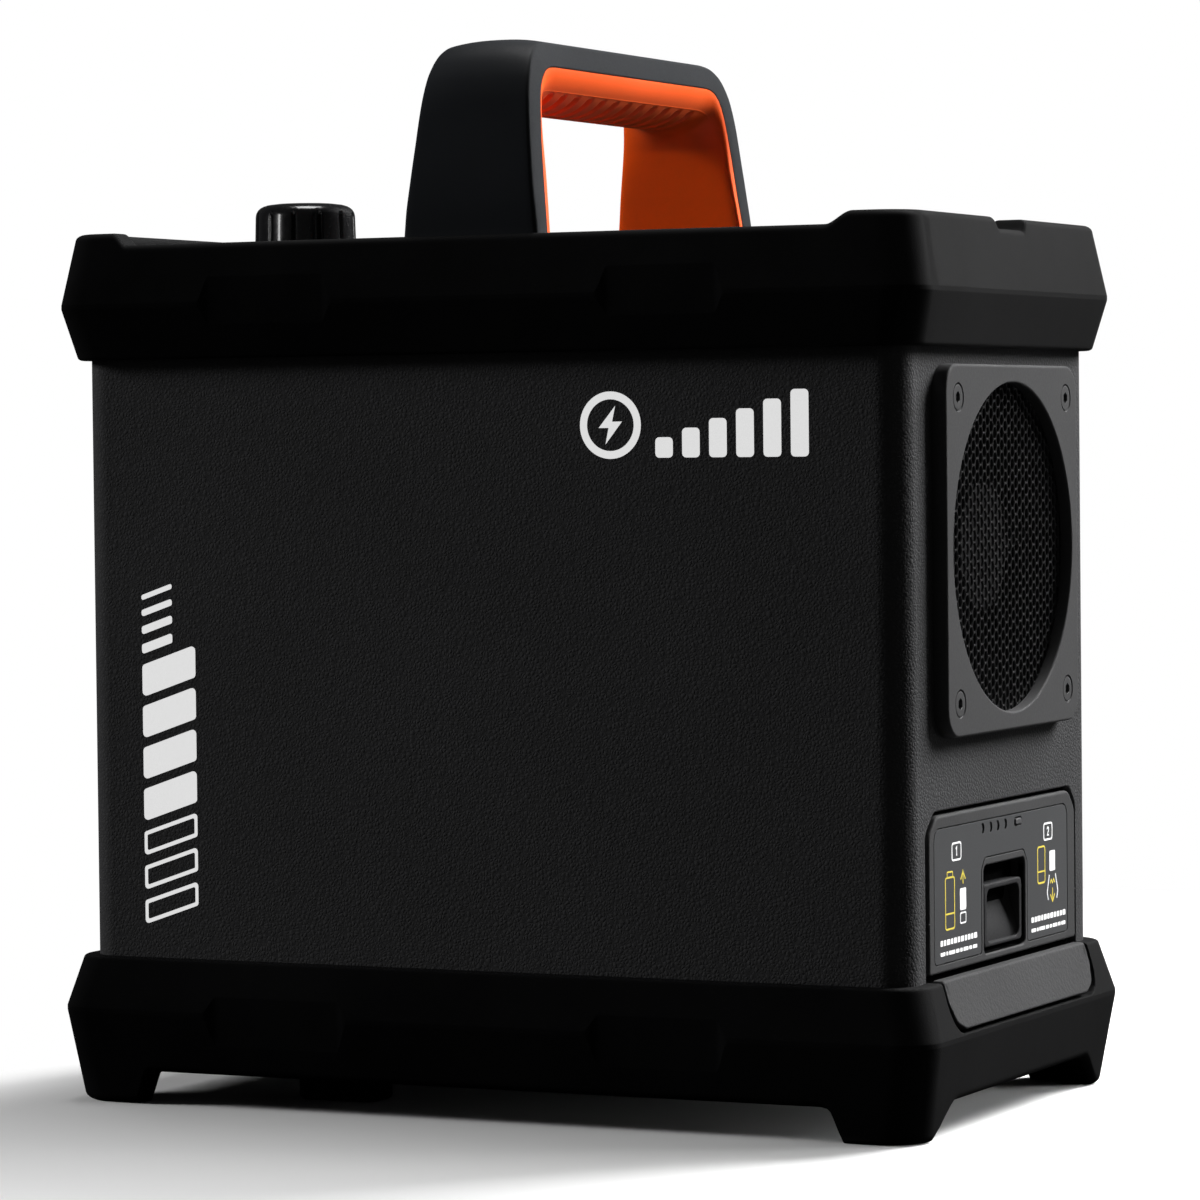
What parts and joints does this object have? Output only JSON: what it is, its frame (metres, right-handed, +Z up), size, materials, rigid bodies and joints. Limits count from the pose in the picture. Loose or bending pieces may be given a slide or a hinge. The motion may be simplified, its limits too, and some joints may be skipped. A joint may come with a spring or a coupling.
{
  "type": "battery-powered studio flash generator",
  "caption": "Portable studio flash power pack: grained black sleeve between chevron rubber bumpers, strap handle with soft orange grip, control dial, fan vent and latched pull-out battery.",
  "frame": {"origin": "on the ground under the centre of the footprint", "axes": "+X towards the end with the fan and the battery, +Y to the back, +Z up"},
  "size_m": [0.2518, 0.1448, 0.2798],
  "materials": {
    "shell_coat": "leather-grain matte powder coat",
    "bumper_rubber": "fine matte moulded rubber",
    "base_metal": "black anodised sheet",
    "post_aluminium": "milled",
    "screw_black": "black oxide",
    "pad_rubber": "soft rubber",
    "bay_plastic": "textured moulding",
    "contact_brass": "nickel-free brass",
    "battery_plastic": "fine textured moulding",
    "label_film": "satin printed film",
    "led_lens": "frosted light pipe",
    "button_black": "satin",
    "latch_plastic": "semi-gloss moulding",
    "spring_steel": "wire",
    "cell_wrap": "shrink-wrapped steel can",
    "holder_plastic": "flame-retardant moulding",
    "pcb_green": "solder mask",
    "pull_bar_plastic": "fine spark-eroded texture",
    "rod_steel": "ground",
    "vent_metal": "fine black powder coat",
    "mesh_metal": "black coated mesh",
    "fan_plastic": "glass-filled moulding",
    "panel_plastic": "satin moulding",
    "knob_gloss": "piano black",
    "encoder_metal": "plated",
    "lcd_glass": "clear cover over dark display",
    "lcd_housing": "white backlight frame",
    "key_rubber": "silicone keytop",
    "key_orange": "silicone keytop",
    "socket_plastic": "insulating moulding",
    "jack_metal": "nickel plated",
    "cover_rubber": "soft flap",
    "handle_black": "satin soft-touch",
    "handle_orange": "soft elastomer",
    "can_sleeve": "sleeved aluminium can",
    "bracket_metal": "folded sheet",
    "heat_sink_alu": "extruded",
    "module_plastic": "epoxy moulding",
    "core_ferrite": "ferrite with taped winding",
    "cable_red": "silicone insulation",
    "cable_black": "silicone insulation"
  },
  "bodies": {
    "root": {"housing_shell": "shell_coat", "top_bumper": "bumper_rubber", "bottom_bumper": "bumper_rubber", "base_plate": "base_metal", "base_screws": "screw_black", "base_pads": "pad_rubber", "battery_bay": "bay_plastic", "bay_contacts": "contact_brass", "vent_plate": "vent_metal", "vent_mesh": "mesh_metal", "vent_screws": "screw_black", "fan_frame": "fan_plastic", "control_panel": "panel_plastic", "panel_screws": "screw_black", "corner_posts": "post_aluminium", "dial_encoder": "encoder_metal", "lcd_window": "lcd_glass", "lcd_module": "lcd_housing", "control_board": "pcb_green", "status_leds": "led_lens", "head_socket": "socket_plastic", "socket_contacts": "contact_brass", "sync_jack": "jack_metal", "usb_port": "jack_metal", "handle_frame": "handle_black", "handle_screws": "screw_black", "handle_grip": "handle_orange", "capacitor_bank": "can_sleeve", "capacitor_bracket": "bracket_metal", "capacitor_busbars": "contact_brass", "heat_sink": "heat_sink_alu", "switch_module": "module_plastic", "charger_board": "pcb_green", "transformer": "core_ferrite", "output_cables": "cable_red", "power_cables": "cable_black"},
    "battery": {"battery_case": "battery_plastic", "battery_front_panel": "battery_plastic", "battery_label": "label_film", "charge_leds": "led_lens", "latch_spring": "spring_steel", "battery_cells": "cell_wrap", "cell_holders": "holder_plastic", "battery_board": "pcb_green", "battery_terminals": "contact_brass"},
    "latch": {"battery_latch": "latch_plastic"},
    "charge_button": {"battery_test_button": "button_black"},
    "pull_bar": {"battery_pull_bar": "pull_bar_plastic", "pull_rods": "rod_steel"},
    "fan": {"fan_rotor": "fan_plastic"},
    "dial": {"dial_knob": "knob_gloss", "dial_shaft": "encoder_metal"},
    "menu_key": {"menu_button": "key_rubber"},
    "mode_key": {"mode_button": "key_rubber"},
    "sync_key": {"sync_button": "key_rubber"},
    "lamp_key": {"lamp_button": "key_rubber"},
    "power_key": {"power_button": "key_rubber"},
    "test_key": {"test_button": "key_orange"},
    "release_key": {"socket_release": "key_orange"},
    "port_flap": {"port_cover": "cover_rubber"}
  },
  "joints": [
    {"name": "battery_slide", "type": "slide", "parent": "root", "child": "battery", "axis": [1, 0, 0], "range_m": [0, 0.215]},
    {"name": "latch_slide", "type": "slide", "parent": "battery", "child": "latch", "axis": [0, 0, 1], "range_m": [0, 0.005], "deforming": ["latch_spring"]},
    {"name": "pull_bar_slide", "type": "slide", "parent": "battery", "child": "pull_bar", "axis": [1, 0, 0], "range_m": [0, 0.022]},
    {"name": "charge_button_press", "type": "slide", "parent": "battery", "child": "charge_button", "axis": [-1, 0, 0], "range_m": [0, 0.0006]},
    {"name": "fan_spin", "type": "hinge", "parent": "root", "child": "fan", "pos_m": [0.1, 0, 0.1475], "axis": [1, 0, 0], "continuous": true},
    {"name": "dial_turn", "type": "hinge", "parent": "root", "child": "dial", "pos_m": [-0.0864, 0, 0.23], "axis": [0, 0, 1], "continuous": true},
    {"name": "menu_press", "type": "slide", "parent": "root", "child": "menu_key", "axis": [0, 0, -1], "range_m": [0, 0.001]},
    {"name": "mode_press", "type": "slide", "parent": "root", "child": "mode_key", "axis": [0, 0, -1], "range_m": [0, 0.001]},
    {"name": "sync_press", "type": "slide", "parent": "root", "child": "sync_key", "axis": [0, 0, -1], "range_m": [0, 0.001]},
    {"name": "lamp_press", "type": "slide", "parent": "root", "child": "lamp_key", "axis": [0, 0, -1], "range_m": [0, 0.001]},
    {"name": "power_press", "type": "slide", "parent": "root", "child": "power_key", "axis": [0, 0, -1], "range_m": [0, 0.001]},
    {"name": "test_press", "type": "slide", "parent": "root", "child": "test_key", "axis": [0, 0, -1], "range_m": [0, 0.001]},
    {"name": "release_press", "type": "slide", "parent": "root", "child": "release_key", "axis": [0, 0, -1], "range_m": [0, 0.0018]},
    {"name": "port_flap_hinge", "type": "hinge", "parent": "root", "child": "port_flap", "pos_m": [0.066, -0.0516, 0.2233], "axis": [1, 0, 0], "range_deg": [0, 110]}
  ]
}
